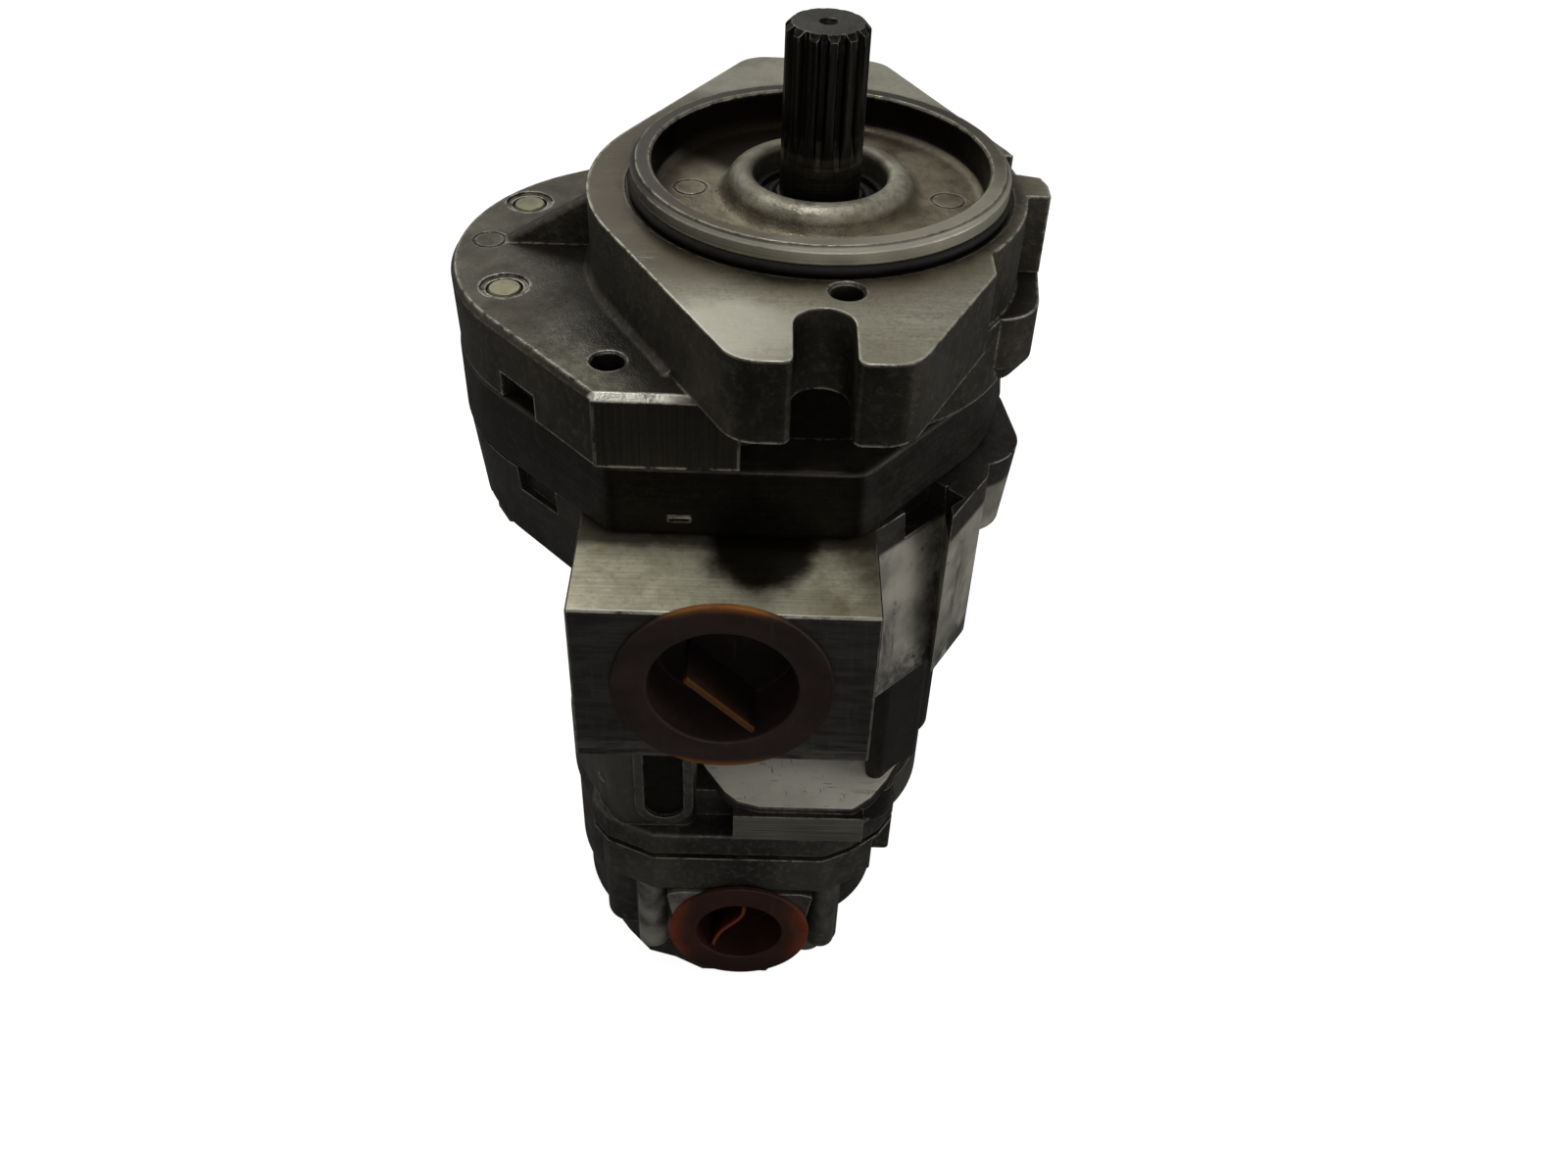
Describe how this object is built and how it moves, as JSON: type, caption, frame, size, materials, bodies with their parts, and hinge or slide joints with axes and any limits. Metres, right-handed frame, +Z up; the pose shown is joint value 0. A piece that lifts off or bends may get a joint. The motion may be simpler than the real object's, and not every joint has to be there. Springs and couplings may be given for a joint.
{
  "type": "tandem gear pump",
  "caption": "Tandem external gear pump with a two-bolt slotted mounting flange, round pilot, splined drive shaft and capped side inlets.",
  "frame": {"origin": "centre of the mounting pilot, on the mounting face of the flange", "axes": "+Z up the drive shaft towards its splined tip, -Y towards the two inlet ports, -X towards the driven gears"},
  "size_m": [0.1636, 0.1919, 0.3272],
  "materials": {
    "cast_dark": "oily as-cast grey iron, machined on its faces",
    "cast_light": "sand-cast and machined light alloy, stained",
    "steel": "ground and worn steel",
    "bolt_steel": "dull oiled steel",
    "bronze": "plain bronze",
    "rubber": "black rubber",
    "cap_brown": "translucent brown plastic",
    "cap_orange": "translucent orange-brown plastic"
  },
  "bodies": {
    "housing": {"front_cover": "cast_dark", "pilot_o_ring": "rubber", "shaft_seal": "rubber", "cover_joint_seal": "rubber", "front_bearing_plate": "cast_dark", "plate_joint_seal": "rubber", "front_bearing_bushes": "bronze", "front_gear_case": "cast_light", "front_upper_pressure_plate": "bronze", "front_lower_pressure_plate": "bronze", "center_joint_seal": "rubber", "center_housing": "cast_dark", "rear_upper_joint_seal": "rubber", "rear_bearing_plate": "cast_dark", "rear_lower_joint_seal": "rubber", "rear_bearing_bushes": "bronze", "rear_gear_case": "cast_dark", "rear_cover_seal": "rubber", "rear_cover": "cast_dark", "rear_upper_pressure_plate": "bronze", "rear_lower_pressure_plate": "bronze", "case_bolts": "bolt_steel", "case_bolt_washers": "bolt_steel", "center_screws": "bolt_steel", "rear_tie_bolts": "bolt_steel", "dowel_pins": "steel", "front_port_cap": "cap_brown", "rear_port_cap": "cap_orange"},
    "drive_train": {"drive_shaft_gear": "steel", "coupling_sleeve": "steel", "rear_drive_gear": "steel"},
    "front_driven": {"front_driven_gear": "steel"},
    "rear_driven": {"rear_driven_gear": "steel"}
  },
  "joints": [
    {"name": "shaft_spin", "type": "hinge", "parent": "housing", "child": "drive_train", "pos_m": [0, 0, 0], "axis": [0, 0, 1], "continuous": true},
    {"name": "front_driven_spin", "type": "hinge", "parent": "housing", "child": "front_driven", "pos_m": [-0.044, 0, 0], "axis": [0, 0, 1], "continuous": true},
    {"name": "rear_driven_spin", "type": "hinge", "parent": "housing", "child": "rear_driven", "pos_m": [-0.033, 0, 0], "axis": [0, 0, 1], "continuous": true}
  ],
  "couplings": [
    {"joint": "front_driven_spin", "follows": "shaft_spin", "ratio": -1},
    {"joint": "rear_driven_spin", "follows": "shaft_spin", "ratio": -1}
  ]
}
